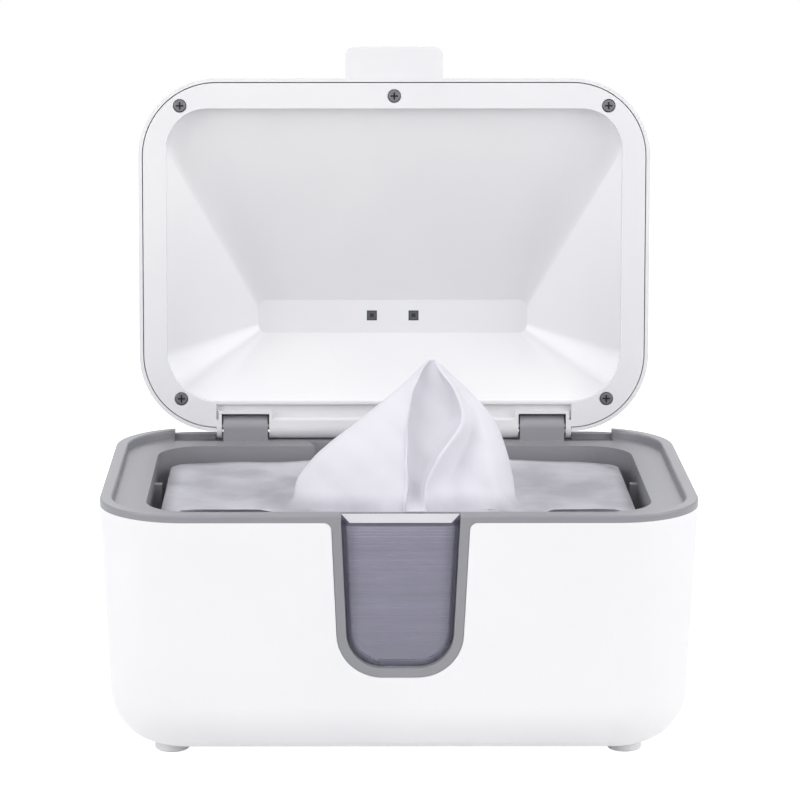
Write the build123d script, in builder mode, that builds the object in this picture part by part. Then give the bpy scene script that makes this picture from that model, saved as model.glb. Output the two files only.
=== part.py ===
"""A baby wipe warmer with a hinged lid, drawn with the lid open. Millimetres, +Z up.

The origin is on the floor under the middle of the body. The front, with its window, faces -Y.
The body is a white housing with a grey tub let into its top. The lid turns on two pins at the rear.
"""
from build123d import *
from math import cos, radians, sin, tan
import os

os.makedirs("parts", exist_ok=True)

# ---- Body ------------------------------------------------------------------------------------
body_width = 240.0
body_depth = 166.0
body_corner_radius = 35.0
rim_height = 105.0  # the top of the grey rim, over the floor
rim_face = 3.0  # the grey band that shows above the white housing
foot_height = 4.0
wall_draft = 2.4  # degrees
housing_wall = 2.5
bottom_radius = 22.0
fit_gap = 0.2  # between mouldings that drop into each other
seat_gap = 0.3  # between pieces that are held close without a fit
soft_fillet = 1.0
edge_reach = 0.25  # how far from a plane an edge may lie and still be picked

# ---- Tub -------------------------------------------------------------------------------------
ridge_width = 5.0
trough_drop = 0.8  # under the ledge, where the lid's rear edge turns
rim_round = 0.8
ledge_drop = 3.5  # from the rim's top down to the ledge round the well
tub_wall = 2.0
side_ledge = 13.2  # from the ridge in to the well
front_ledge = 16.0
rear_ledge = 18.0
well_corner_radius = 19.0
well_floor_height = 24.0
rib_width = 4.0
rib_proud = 3.0
rib_drop = 10.5  # from the rim's top down to the rib's top
rib_place = 18.0
pocket_half_width = 34.0  # the finger pocket in the rear ledge
pocket_depth = 9.0
pocket_drop = 6.0
pocket_slant = 3.5
rear_cut_inset = 15.0  # the low stretch of the rim, from the lid's side

# ---- Window ----------------------------------------------------------------------------------
window_half_width = 27.2  # the grey frame's outside, at the rim's top
window_drop = 66.4  # the grey frame's foot, under the rim's top
window_corner_radius = 18.0
window_taper = 2.6  # degrees
window_frame = 3.7
window_shoulder = 3.0  # the round where the frame runs into the rim
pane_recess = 1.5
pane_thickness = 3.2
pane_chamfer = 3.3
pane_gap = 0.12
gasket_thickness = 0.8
gasket_width = 2.2

# ---- Hinge and lid ---------------------------------------------------------------------------
axis_set_in = 7.0  # from the rear of the rim
axis_rise = 2.0  # over the rim
open_lean = 5.39  # degrees past upright
barrel_radius = 5.2
lid_rest_gap = 0.3  # over the ledge when the lid is shut
knuckle_middle = 65.0
knuckle_width = 19.4
knuckle_gap = 0.7
pin_radius = 1.5
pin_fit = 0.02
pin_running = 0.06
pin_embed = 4.6
hinge_cheek = 2.3
hinge_border = 1.4
lid_side_gap = 3.8  # from the ridge to the lid when it is shut
lid_front_gap = 1.8
lid_rear = -1.8  # the lid's rear edge, measured forwards from the hinge axis
lid_corner_radius = 34.0
lid_height = 40.0
lid_taper = 6.0  # degrees
lid_top_radius = 16.0
lid_wall = 1.6
tab_width = 42.6
tab_reach = 13.5
tab_thickness = 3.0
tab_set_back = 3.6
tab_corner_radius = 4.0
liner_flange = 2.4
liner_wall = 1.8
frame_side = 12.0  # the flat frame round the recess
frame_front = 13.0
recess_rear = 11.2
recess_front_radius = 18.0
recess_rear_radius = 22.0
recess_lip = 5.0
deep_width = 120.0
deep_rear = 38.9
deep_front = 53.6
deep_radius = 4.0
recess_depth = 32.0
groove_lip = 1.0  # between the recess and the groove behind it
groove_depth = 2.2
groove_width = 7.0

# ---- Fasteners -------------------------------------------------------------------------------
screw_head_radius = 2.7
screw_head_height = 1.4
screw_radius = 1.25
screw_length = 10.0
screw_sink = 0.1
cross_length = 3.2
cross_width = 0.7
cross_depth = 0.7
boss_radius = 3.4
thread_fit = 0.02
head_gap = 0.3
screw_from_side = 18.2
screw_from_front = 11.9
middle_screw_from_front = 7.7
rear_screw_y = 12.6

# ---- Ultraviolet lamp in the lid -------------------------------------------------------------
led_spacing = 18.6
led_size = 3.5
led_height = 1.5
led_lens = 1.8
led_opening = 4.5
led_offset = 0.35  # forwards of the middle of the recess's flat
led_board_length = 46.0
led_board_width = 12.0
board_thickness = 1.6
led_screw_spacing = 38.0
led_screw_bite = 1.2  # how far these screws go into the liner's wall
small_screw_radius = 0.9
small_screw_head = 1.7
small_screw_head_height = 1.0
small_screw_length = 3.0
lead_radius = 0.8

# ---- Under the well --------------------------------------------------------------------------
heater_side_margin = 16.8  # in from the well's walls
heater_end_margin = 13.0
heater_thickness = 1.5
film_margin = 5.0
film_thickness = 0.4
film_tail_width = 14.0
film_tail_length = 10.0
pad_thickness = 4.0
pad_margin = 1.0
clamp_margin = 4.8
clamp_end_margin = 20.0  # in from the heater plate's ends
clamp_thickness = 1.5
clamp_screw_inset = 6.0
clamp_screw_from_end = 8.0
thermostat_radius = 6.5
thermostat_height = 4.6
thermostat_inset = 23.0  # from the heater plate's side
fuse_radius = 1.8
fuse_length = 12.0
fuse_inset = 51.0
cut_out_gap = 1.0
sensor_margin = 12.0  # from the pad's rear edge to the thermostat and the fuse

# ---- Bottom ----------------------------------------------------------------------------------
hatch_side_margin = 40.0
hatch_end_margin = 33.0
hatch_radius = 12.0
hatch_thickness = 2.0
hatch_lip = 11.0
hatch_lip_height = 4.0
hatch_screw_length = 5.0
foot_radius = 7.0
foot_side_margin = 28.0
foot_end_margin = 33.0
foot_pad = 2.0
post_radius = 4.5
tub_screw_length = 14.0

# ---- Control board at the rear ---------------------------------------------------------------
board_width = 84.0
board_height = 42.0
board_foot = 26.0
board_stand_off = 4.0
board_screw_inset = 5.0
inlet_x = -12.0
inlet_height = 36.0
inlet_body = 10.0
inlet_nose_radius = 4.0
inlet_bore_radius = 2.75
inlet_pin_radius = 1.0
inlet_bore_depth = 9.0
inlet_hole_gap = 0.3
button_x = 24.0
button_height = 38.0
button_radius = 5.0
button_proud = 0.6
button_flange = 1.5
button_flange_thickness = 1.2
button_stem_radius = 2.0
button_travel = 0.6
switch_size = 6.0
switch_body = 3.5
switch_nub_radius = 1.7
switch_nub = 1.5
capacitor_radius = 4.0
capacitor_length = 8.0
capacitor_spacing = 10.0
chip_size = 10.0
chip_thickness = 1.6
plug_width = 12.0
plug_height = 6.0
plug_x = -30.0

# ---- Wipes -----------------------------------------------------------------------------------
stack_side_gap = 4.4
stack_end_gap = 6.0
stack_drop = 9.5
stack_radius = 9.0
stack_edge_radius = 1.5
wipe_peak_height = 56.0
wipe_middle_share = 0.45


# ---- Places that follow ----------------------------------------------------------------------
housing_top = rim_height - rim_face
ledge_height = rim_height - ledge_drop
ledge_bottom = ledge_height - tub_wall
housing_floor = foot_height + housing_wall
ridge_corner_radius = body_corner_radius - ridge_width
well_width = body_width - 2 * (ridge_width + side_ledge)
well_front = ridge_width + front_ledge - body_depth / 2
well_rear = body_depth / 2 - ridge_width - rear_ledge
well_bottom = well_floor_height - tub_wall
well_depth = well_rear - well_front
well_middle = (well_rear + well_front) / 2
rear_wall = well_rear + tub_wall
stack_top = rim_height - stack_drop
stack_width = well_width - 2 * stack_side_gap
stack_front = well_front + stack_end_gap
stack_rear = well_rear - stack_end_gap
heater_width = well_width - 2 * heater_side_margin
heater_depth = well_depth - 2 * heater_end_margin
film_width = heater_width - 2 * film_margin
film_depth = heater_depth - 2 * film_margin
clamp_width = well_width - 2 * clamp_margin
clamp_screw_x = clamp_width / 2 - clamp_screw_inset
clamp_depth = heater_depth - 2 * clamp_end_margin
clamp_screw_y = clamp_depth / 2 - clamp_screw_from_end
thermostat_x = heater_width / 2 - thermostat_inset
fuse_x = heater_width / 2 - fuse_inset
hatch_width = body_width - 2 * hatch_side_margin
hatch_depth = body_depth - 2 * hatch_end_margin
foot_x = body_width / 2 - foot_side_margin
foot_y = body_depth / 2 - foot_end_margin
axis_y = body_depth / 2 - axis_set_in
axis_height = rim_height + axis_rise
liner_drop = axis_height - ledge_height - lid_rest_gap  # from the hinge axis to the liner's face
knuckle_inner = knuckle_middle - knuckle_width / 2
knuckle_outer = knuckle_middle + knuckle_width / 2
notch_inner = knuckle_inner - knuckle_gap
notch_outer = knuckle_outer + knuckle_gap
notch_reach = barrel_radius + knuckle_gap
notch_depth = liner_drop + notch_reach
cheek_outer = notch_outer + hinge_cheek
lid_width = body_width - 2 * (ridge_width + lid_side_gap)
lid_front = axis_y + body_depth / 2 - ridge_width - lid_front_gap
lid_length = lid_front - lid_rear
recess_width = lid_width - 2 * frame_side
recess_front = lid_front - frame_front
corner_screw_x = lid_width / 2 - screw_from_side
front_screw_y = lid_front - screw_from_front
middle_screw_y = lid_front - middle_screw_from_front
led_y = (deep_rear + deep_front) / 2 + led_offset
led_board_depth = recess_depth + liner_wall

front_plane = Plane(
    origin=(0, -body_depth / 2, housing_top),
    x_dir=(1, 0, 0),
    z_dir=(0, -cos(radians(wall_draft)), -sin(radians(wall_draft))),
)
rear_plane = Plane(origin=(0, rear_wall, 0), x_dir=(-1, 0, 0), z_dir=(0, 1, 0))
lid_lean = radians(open_lean)
hinge_plane = Plane(
    origin=(0, axis_y, axis_height), x_dir=(-1, 0, 0), z_dir=(0, cos(lid_lean), -sin(lid_lean))
)


def lid_plane(depth):
    """A plane in the lid, by its depth behind the liner's face. Its Y runs to the lid's front."""
    return hinge_plane.offset(depth - liner_drop)


def wall_rear_at(height):
    """Where the housing's drafted rear face stands at a height."""
    return body_depth / 2 - (housing_top - height) * tan(radians(wall_draft))


def rounded(plane, width, length, radius, middle=(0, 0)):
    """A rounded rectangle on a plane."""
    with BuildSketch(plane) as shape:
        with Locations(middle):
            RectangleRounded(width, length, radius)
    return shape.sketch


def block(plane, width, length, middle=(0, 0)):
    """A sharp rectangle on a plane."""
    with BuildSketch(plane) as shape:
        with Locations(middle):
            Rectangle(width, length)
    return shape.sketch


def discs(plane, radius, places):
    """One disc at each place on a plane."""
    with BuildSketch(plane) as shape:
        with Locations(*places):
            Circle(radius)
    return shape.sketch


def four(x, y, middle=0):
    """The four corners of a rectangle about x = 0."""
    return [(i * x, middle + j * y) for i in (-1, 1) for j in (-1, 1)]


def window_outline(plane, inset, top):
    """The tapering U of the window, drawn in by inset, from its foot up to a height over the housing."""
    foot = rim_face - window_drop + inset
    slope = tan(radians(window_taper))
    half_top = window_half_width - inset + (top - rim_face) * slope
    half_foot = window_half_width - inset + (foot - rim_face) * slope
    with BuildSketch(plane) as shape:
        with BuildLine():
            Polyline((-half_top, top), (-half_foot, foot), (half_foot, foot), (half_top, top), close=True)
        make_face()
        fillet(shape.vertices().group_by(Axis.Y)[0], window_corner_radius - inset)
    return shape.sketch


def lid_outline(depth, inset):
    """The lid's outline at a depth, drawn in by inset."""
    return rounded(
        lid_plane(depth),
        lid_width - 2 * inset,
        lid_length - 2 * inset,
        lid_corner_radius - inset,
        (0, lid_rear + lid_length / 2),
    )


def recess_outline(depth, outset):
    """The mouth of the lid's recess, with tighter corners at the front."""
    with BuildSketch(lid_plane(depth)) as shape:
        with Locations((0, (recess_rear + recess_front) / 2)):
            Rectangle(recess_width + 2 * outset, recess_front - recess_rear + 2 * outset)
        fillet(shape.vertices().group_by(Axis.Y)[0], recess_rear_radius + outset)
        fillet(shape.vertices().group_by(Axis.Y)[-1], recess_front_radius + outset)
    return shape.sketch


def deep_outline(depth, outset):
    """The small flat at the bottom of the lid's recess."""
    return rounded(
        lid_plane(depth),
        deep_width + 2 * outset,
        deep_front - deep_rear + 2 * outset,
        deep_radius + outset,
        (0, (deep_front + deep_rear) / 2),
    )


def screw(plane, places, head_radius, head_height, radius, length):
    """Pan-head screws with a cross recess. The plane is the top of the heads; shanks run along +Z."""
    with BuildPart() as made:
        extrude(discs(plane, head_radius, places), amount=head_height)
        fillet(made.faces().filter_by(plane).edges(), head_height / 3)
        extrude(discs(plane.offset(head_height), radius, places), amount=length)
        with BuildSketch(plane):
            with Locations(*places):
                Rectangle(cross_length * head_radius / screw_head_radius, cross_width)
                Rectangle(cross_width, cross_length * head_radius / screw_head_radius)
        extrude(amount=cross_depth * head_height / screw_head_height, mode=Mode.SUBTRACT)
    return made.part


def save(piece, name):
    """Label a finished piece and write it."""
    piece.part.label = name
    export_step(piece.part, f"parts/{name}.step")


# ---- Housing ---------------------------------------------------------------------------------
def body_form(inset):
    """The drafted body with its round foot, drawn in by inset all round."""
    height = housing_top - foot_height - inset
    with BuildPart() as form:
        extrude(
            rounded(
                Plane.XY.offset(housing_top),
                body_width - 2 * inset,
                body_depth - 2 * inset,
                body_corner_radius - inset,
            ),
            amount=-height,
            taper=wall_draft,
        )
        fillet(form.faces().sort_by(Axis.Z)[0].edges(), bottom_radius - inset)
    return form.part


outer_form = body_form(0)
inner_form = body_form(housing_wall)
foot_places = four(foot_x, foot_y)
hatch_screw_places = four((hatch_width - hatch_lip) / 2, (hatch_depth - hatch_lip) / 2)

with BuildPart() as housing_shell:
    add(outer_form)
    add(inner_form, mode=Mode.SUBTRACT)
    # The lip round the hatch, and the pads that the tub's screws pull on
    hatch_plane = Plane.XY.offset(foot_height)
    extrude(
        rounded(hatch_plane, hatch_width + hatch_lip, hatch_depth + hatch_lip, hatch_radius),
        amount=hatch_thickness + hatch_lip_height,
    )
    extrude(discs(Plane.XY.offset(housing_floor), foot_radius, foot_places), amount=foot_pad)
    extrude(
        rounded(
            Plane.XY.offset(foot_height),
            hatch_width - 2 * hatch_lip,
            hatch_depth - 2 * hatch_lip,
            hatch_radius - 2 * fit_gap,
        ),
        amount=housing_top,
        mode=Mode.SUBTRACT,
    )
    extrude(
        rounded(Plane.XY.offset(foot_height), hatch_width, hatch_depth, hatch_radius),
        amount=hatch_thickness,
        mode=Mode.SUBTRACT,
    )
    extrude(
        discs(Plane.XY.offset(foot_height + hatch_thickness), screw_radius + thread_fit, hatch_screw_places),
        amount=hatch_lip_height,
        mode=Mode.SUBTRACT,
    )
    # The tub's screws stand under the feet
    extrude(
        discs(Plane.XY.offset(foot_height), screw_radius + head_gap, foot_places),
        amount=housing_wall + foot_pad,
        mode=Mode.SUBTRACT,
    )
    extrude(
        discs(Plane.XY.offset(foot_height), screw_head_radius + head_gap, foot_places),
        amount=foot_pad,
        mode=Mode.SUBTRACT,
    )
    # The notch for the window, with a rounded shoulder each side
    extrude(
        window_outline(front_plane.offset(housing_wall), -fit_gap, rim_face),
        amount=-(ridge_width + 2 * housing_wall),
        mode=Mode.SUBTRACT,
    )
    shoulder_reach = window_half_width + edge_reach
    shoulders = housing_shell.edges().filter_by_position(Axis.Z, housing_top - edge_reach, housing_top)
    shoulders = shoulders.filter_by_position(Axis.X, -shoulder_reach, shoulder_reach)
    fillet(shoulders.filter_by(lambda e: e.center().Y < 0 and e.length < 2 * housing_wall), window_shoulder)
    # The holes for the power inlet and the button
    extrude(
        discs(rear_plane, inlet_nose_radius + inlet_hole_gap, [(-inlet_x, inlet_height)]),
        amount=body_depth,
        mode=Mode.SUBTRACT,
    )
    extrude(
        discs(rear_plane, button_radius + inlet_hole_gap, [(-button_x, button_height)]),
        amount=body_depth,
        mode=Mode.SUBTRACT,
    )
save(housing_shell, "housing_shell")

with BuildPart() as base_plate:
    extrude(
        rounded(
            Plane.XY.offset(foot_height),
            hatch_width - 2 * fit_gap,
            hatch_depth - 2 * fit_gap,
            hatch_radius - fit_gap,
        ),
        amount=hatch_thickness,
    )
    extrude(
        discs(Plane.XY.offset(foot_height), screw_radius + head_gap, hatch_screw_places),
        amount=hatch_thickness,
        mode=Mode.SUBTRACT,
    )
    extrude(
        discs(Plane.XY.offset(foot_height), screw_head_radius + head_gap, hatch_screw_places),
        amount=screw_head_height,
        mode=Mode.SUBTRACT,
    )
save(base_plate, "base_plate")

with BuildPart() as base_screws:
    add(
        screw(
            Plane.XY.offset(foot_height),
            hatch_screw_places,
            screw_head_radius,
            screw_head_height,
            screw_radius,
            hatch_screw_length - screw_head_height,
        )
    )
save(base_screws, "base_screws")

with BuildPart() as feet:
    extrude(discs(Plane.XY, foot_radius, foot_places), amount=foot_height)
    fillet(feet.faces().sort_by(Axis.Z)[:4].edges(), soft_fillet)
save(feet, "feet")

with BuildPart() as tub_screws:
    add(
        screw(
            Plane.XY.offset(foot_height + foot_pad - screw_head_height),
            foot_places,
            screw_head_radius,
            screw_head_height,
            screw_radius,
            tub_screw_length,
        )
    )
save(tub_screws, "tub_screws")


# ---- Tub -------------------------------------------------------------------------------------
clamp_screw_places = four(clamp_screw_x, clamp_screw_y, well_middle)
board_screw_places = four(
    board_width / 2 - board_screw_inset,
    board_height / 2 - board_screw_inset,
    board_foot + board_height / 2,
)
film_bottom = well_bottom - heater_thickness - film_thickness
pad_bottom = film_bottom - pad_thickness
seat_depth = pane_recess + pane_thickness + gasket_thickness
rear_cut_half = lid_width / 2 - rear_cut_inset
rear_cut_start = body_depth / 2 - ridge_width - soft_fillet
trough_height = ledge_height - trough_drop
trough_front = axis_y - barrel_radius - 2 * seat_gap
ridge_rear = body_depth / 2 - ridge_width
barrel_rear = axis_y + barrel_radius + seat_gap
skirt_inset = housing_wall + fit_gap
skirt_rear = body_depth / 2 - skirt_inset

with BuildPart() as inner_tub:
    # The window's frame, flush with the drafted front of the housing
    extrude(
        window_outline(front_plane.offset(ridge_width), 0, 0),
        amount=-(ridge_width + body_depth / 2 + well_front + tub_wall),
    )
    add(outer_form, mode=Mode.INTERSECT)
    # The rim on the housing, its skirt inside it, and the well
    extrude(
        rounded(Plane.XY.offset(housing_top), body_width, body_depth, body_corner_radius),
        amount=rim_face,
    )
    extrude(
        rounded(
            Plane.XY.offset(ledge_bottom),
            body_width - 2 * skirt_inset,
            body_depth - 2 * skirt_inset,
            body_corner_radius - skirt_inset,
        ),
        amount=housing_top - ledge_bottom,
    )
    extrude(
        rounded(
            Plane.XY.offset(well_bottom),
            well_width + 2 * tub_wall,
            well_depth + 2 * tub_wall,
            well_corner_radius + tub_wall,
            (0, well_middle),
        ),
        amount=ledge_height - well_bottom,
    )
    # The rounds that fill the housing's shoulders each side of the window
    shoulder_middle = window_half_width + window_shoulder
    with BuildSketch(front_plane):
        Rectangle(2 * shoulder_middle, window_shoulder, align=(Align.CENTER, Align.MAX))
        with Locations((-shoulder_middle, -window_shoulder), (shoulder_middle, -window_shoulder)):
            Circle(window_shoulder + fit_gap, mode=Mode.SUBTRACT)
    extrude(amount=-housing_wall)
    # The walls of the finger pocket behind the well
    extrude(
        block(
            Plane.XY.offset(ledge_bottom - pocket_drop),
            2 * (pocket_half_width + pocket_slant + tub_wall),
            pocket_depth + tub_wall,
            (0, well_rear + (pocket_depth + tub_wall) / 2),
        ),
        amount=pocket_drop + tub_wall,
    )
    # The space above the ledge, and the well
    extrude(
        rounded(
            Plane.XY.offset(ledge_height),
            body_width - 2 * ridge_width,
            body_depth - 2 * ridge_width,
            ridge_corner_radius,
        ),
        amount=ledge_drop,
        mode=Mode.SUBTRACT,
    )
    extrude(
        rounded(
            Plane.XY.offset(well_floor_height), well_width, well_depth, well_corner_radius, (0, well_middle)
        ),
        amount=rim_height,
        mode=Mode.SUBTRACT,
    )
    with BuildSketch(Plane.XY.offset(ledge_height - pocket_drop)):
        with BuildLine():
            Polyline(
                (-pocket_half_width, well_rear - tub_wall),
                (pocket_half_width, well_rear - tub_wall),
                (pocket_half_width + pocket_slant, well_rear + pocket_depth),
                (-pocket_half_width - pocket_slant, well_rear + pocket_depth),
                close=True,
            )
        make_face()
    extrude(amount=rim_height, mode=Mode.SUBTRACT)
    # The low stretch of the rim that the open lid hangs over, and the troughs where its edge turns
    extrude(
        block(
            Plane.XY.offset(housing_top + soft_fillet),
            2 * rear_cut_half,
            2 * ridge_width,
            (0, rear_cut_start + ridge_width),
        ),
        amount=rim_height,
        mode=Mode.SUBTRACT,
    )
    with BuildSketch(Plane.XY.offset(trough_height)):
        for side in (-1, 1):
            with Locations((side * (rear_cut_half + knuckle_outer) / 2, (ridge_rear + trough_front) / 2)):
                Rectangle(rear_cut_half - knuckle_outer, ridge_rear - trough_front)
    extrude(amount=rim_height, mode=Mode.SUBTRACT)
    extrude(
        block(
            Plane.XY.offset(trough_height),
            2 * (cheek_outer + 2 * seat_gap),
            barrel_rear - rear_cut_start,
            (0, (barrel_rear + rear_cut_start) / 2),
        ),
        amount=rim_height,
        mode=Mode.SUBTRACT,
    )
    # The seat of the pane, open at the top, and the tunnel from it into the well
    extrude(
        window_outline(front_plane.offset(ridge_width), window_frame, 2 * rim_face),
        amount=-(ridge_width + seat_depth),
        mode=Mode.SUBTRACT,
    )
    tunnel_top = ledge_bottom - housing_top
    extrude(
        window_outline(front_plane, window_frame + gasket_width, tunnel_top),
        amount=-(body_depth / 2 + well_front + 2 * tub_wall),
        mode=Mode.SUBTRACT,
    )
    # Ribs that steady the wipes
    for side in (-1, 1):
        extrude(
            block(
                Plane.XY.offset(well_bottom),
                rib_proud + tub_wall,
                rib_width,
                (side * (well_width + tub_wall - rib_proud) / 2, rib_place),
            ),
            amount=rim_height - rib_drop - well_bottom,
        )
    # The hinge's knuckles
    for side in (-1, 1):
        with BuildSketch(Plane.YZ.offset(side * knuckle_middle)):
            with Locations((axis_y, axis_height)):
                Circle(barrel_radius)
            with Locations((axis_y - barrel_radius, ledge_bottom)):
                Rectangle(
                    skirt_rear - axis_y + barrel_radius,
                    axis_height - ledge_bottom,
                    align=(Align.MIN, Align.MIN),
                )
        extrude(amount=knuckle_width / 2, both=True)
    with BuildSketch(Plane.YZ):
        with Locations((axis_y, axis_height)):
            Circle(pin_radius + pin_running)
    extrude(amount=body_width, both=True, mode=Mode.SUBTRACT)
    # Posts under the well, for the housing's screws and the heater clamp
    extrude(
        discs(Plane.XY.offset(housing_floor + foot_pad), post_radius, foot_places),
        amount=well_bottom - housing_floor - foot_pad,
    )
    extrude(
        discs(Plane.XY.offset(pad_bottom), boss_radius, clamp_screw_places),
        amount=well_bottom - pad_bottom,
    )
    extrude(
        discs(Plane.XY.offset(housing_floor), screw_radius + thread_fit, foot_places),
        amount=well_bottom - housing_floor,
        mode=Mode.SUBTRACT,
    )
    extrude(
        discs(Plane.XY.offset(pad_bottom), screw_radius + thread_fit, clamp_screw_places),
        amount=well_bottom - pad_bottom,
        mode=Mode.SUBTRACT,
    )
    # Bosses that carry the control board
    extrude(discs(rear_plane, boss_radius, board_screw_places), amount=board_stand_off)
    extrude(
        discs(rear_plane, small_screw_radius + thread_fit, board_screw_places),
        amount=board_stand_off,
        mode=Mode.SUBTRACT,
    )
    rim_edges = inner_tub.edges().filter_by_position(Axis.Z, rim_height - edge_reach, rim_height)
    fillet(rim_edges.filter_by(lambda e: e.length > 2 * ridge_width), rim_round)
save(inner_tub, "inner_tub")

with BuildPart() as window_pane:
    extrude(
        window_outline(front_plane.offset(-pane_recess), window_frame + pane_gap, rim_face),
        amount=-pane_thickness,
    )
    front_face = window_pane.faces().filter_by(front_plane).sort_by(Axis.Y)[0]
    chamfer(front_face.edges(), length=pane_chamfer, length2=pane_recess, reference=front_face)
save(window_pane, "window_pane")

with BuildPart() as window_gasket:
    gasket_plane = front_plane.offset(-pane_recess - pane_thickness)
    extrude(window_outline(gasket_plane, window_frame + pane_gap, 0), amount=-gasket_thickness)
    extrude(
        window_outline(gasket_plane, window_frame + gasket_width, 2 * rim_face),
        amount=-gasket_thickness,
        mode=Mode.SUBTRACT,
    )
save(window_gasket, "window_gasket")


# ---- Heater under the well -------------------------------------------------------------------
sensor_y = well_middle + heater_depth / 2 - sensor_margin

with BuildPart() as heater_plate:
    extrude(
        rounded(Plane.XY.offset(well_bottom), heater_width, heater_depth, boss_radius, (0, well_middle)),
        amount=-heater_thickness,
    )
save(heater_plate, "heater_plate")

with BuildPart() as heater_film:
    extrude(
        rounded(Plane.XY.offset(film_bottom), film_width, film_depth, boss_radius, (0, well_middle)),
        amount=film_thickness,
    )
    film_rear = well_middle + film_depth / 2
    extrude(
        block(
            Plane.XY.offset(film_bottom),
            film_tail_width,
            2 * film_tail_length,
            (plug_x, film_rear + film_tail_length / 2),
        ),
        amount=film_thickness,
    )
save(heater_film, "heater_film")

with BuildPart() as insulation_pad:
    extrude(
        rounded(
            Plane.XY.offset(pad_bottom),
            heater_width - 2 * pad_margin,
            heater_depth - 2 * pad_margin,
            boss_radius,
            (0, well_middle),
        ),
        amount=pad_thickness,
    )
    extrude(
        discs(Plane.XY.offset(pad_bottom), thermostat_radius + cut_out_gap, [(thermostat_x, sensor_y)]),
        amount=pad_thickness,
        mode=Mode.SUBTRACT,
    )
    extrude(
        block(
            Plane.XY.offset(pad_bottom),
            fuse_length + 2 * cut_out_gap,
            2 * (fuse_radius + cut_out_gap),
            (fuse_x, sensor_y),
        ),
        amount=pad_thickness,
        mode=Mode.SUBTRACT,
    )
    extrude(
        block(
            Plane.XY.offset(pad_bottom),
            film_tail_width,
            2 * film_tail_length,
            (plug_x, well_middle + heater_depth / 2),
        ),
        amount=pad_thickness,
        mode=Mode.SUBTRACT,
    )
save(insulation_pad, "insulation_pad")

with BuildPart() as heater_clamp:
    extrude(
        rounded(Plane.XY.offset(pad_bottom), clamp_width, clamp_depth, boss_radius, (0, well_middle)),
        amount=-clamp_thickness,
    )
    extrude(
        discs(Plane.XY.offset(pad_bottom), screw_radius + head_gap, clamp_screw_places),
        amount=-clamp_thickness,
        mode=Mode.SUBTRACT,
    )
save(heater_clamp, "heater_clamp")

with BuildPart() as clamp_screws:
    add(
        screw(
            Plane.XY.offset(pad_bottom - clamp_thickness - screw_head_height),
            clamp_screw_places,
            screw_head_radius,
            screw_head_height,
            screw_radius,
            clamp_thickness + pad_thickness,
        )
    )
save(clamp_screws, "clamp_screws")

with BuildPart() as thermostat:
    extrude(
        discs(Plane.XY.offset(film_bottom), thermostat_radius, [(thermostat_x, sensor_y)]),
        amount=-thermostat_height,
    )
    fillet(thermostat.faces().sort_by(Axis.Z)[0].edges(), soft_fillet)
save(thermostat, "thermostat")

with BuildPart() as thermal_fuse:
    fuse_plane = Plane(
        origin=(fuse_x, sensor_y, film_bottom - fuse_radius - thread_fit), x_dir=(0, 1, 0), z_dir=(1, 0, 0)
    )
    with BuildSketch(fuse_plane):
        Circle(fuse_radius)
    extrude(amount=fuse_length / 2, both=True)
    chamfer(thermal_fuse.edges().filter_by(GeomType.CIRCLE), soft_fillet / 2)
save(thermal_fuse, "thermal_fuse")


# ---- Control board, inlet and button ---------------------------------------------------------
board_front = rear_plane.offset(board_stand_off)
board_rear = rear_plane.offset(board_stand_off + board_thickness)
board_rear_y = rear_wall + board_stand_off + board_thickness
board_middle_height = board_foot + board_height / 2
upper_row = board_foot + board_height - capacitor_length

with BuildPart() as control_board:
    extrude(block(board_front, board_width, board_height, (0, board_middle_height)), amount=board_thickness)
    extrude(
        discs(board_front, small_screw_radius + head_gap, board_screw_places),
        amount=board_thickness,
        mode=Mode.SUBTRACT,
    )
save(control_board, "control_board")

with BuildPart() as board_components:
    for place in (0, capacitor_spacing):
        extrude(
            discs(board_rear, capacitor_radius, [(place - board_width / 4, upper_row)]),
            amount=capacitor_length,
        )
    extrude(block(board_rear, chip_size, chip_size, (chip_size, upper_row)), amount=chip_thickness)
    extrude(block(board_rear, plug_width, plug_height, (-plug_x, inlet_height)), amount=plug_height)
    extrude(block(board_rear, switch_size, switch_size, (-button_x, button_height)), amount=switch_body)
    extrude(
        discs(board_rear, switch_nub_radius, [(-button_x, button_height)]),
        amount=switch_body + switch_nub,
    )
save(board_components, "board_components")

with BuildPart() as board_screws:
    screw_top = board_rear.offset(small_screw_head_height)
    facing_in = Plane(origin=screw_top.origin, x_dir=(1, 0, 0), z_dir=-screw_top.z_dir)
    add(
        screw(
            facing_in,
            board_screw_places,
            small_screw_head,
            small_screw_head_height,
            small_screw_radius,
            board_thickness + small_screw_length,
        )
    )
save(board_screws, "board_screws")

with BuildPart() as dc_inlet:
    nose_end = wall_rear_at(inlet_height) - board_rear_y
    body_end = nose_end - housing_wall - seat_gap
    extrude(block(board_rear, inlet_body, inlet_body, (-inlet_x, inlet_height)), amount=body_end)
    extrude(discs(board_rear, inlet_nose_radius, [(-inlet_x, inlet_height)]), amount=nose_end)
    extrude(
        discs(board_rear.offset(nose_end), inlet_bore_radius, [(-inlet_x, inlet_height)]),
        amount=-inlet_bore_depth,
        mode=Mode.SUBTRACT,
    )
    extrude(discs(board_rear, inlet_pin_radius, [(-inlet_x, inlet_height)]), amount=nose_end - soft_fillet)
save(dc_inlet, "dc_inlet")

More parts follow.
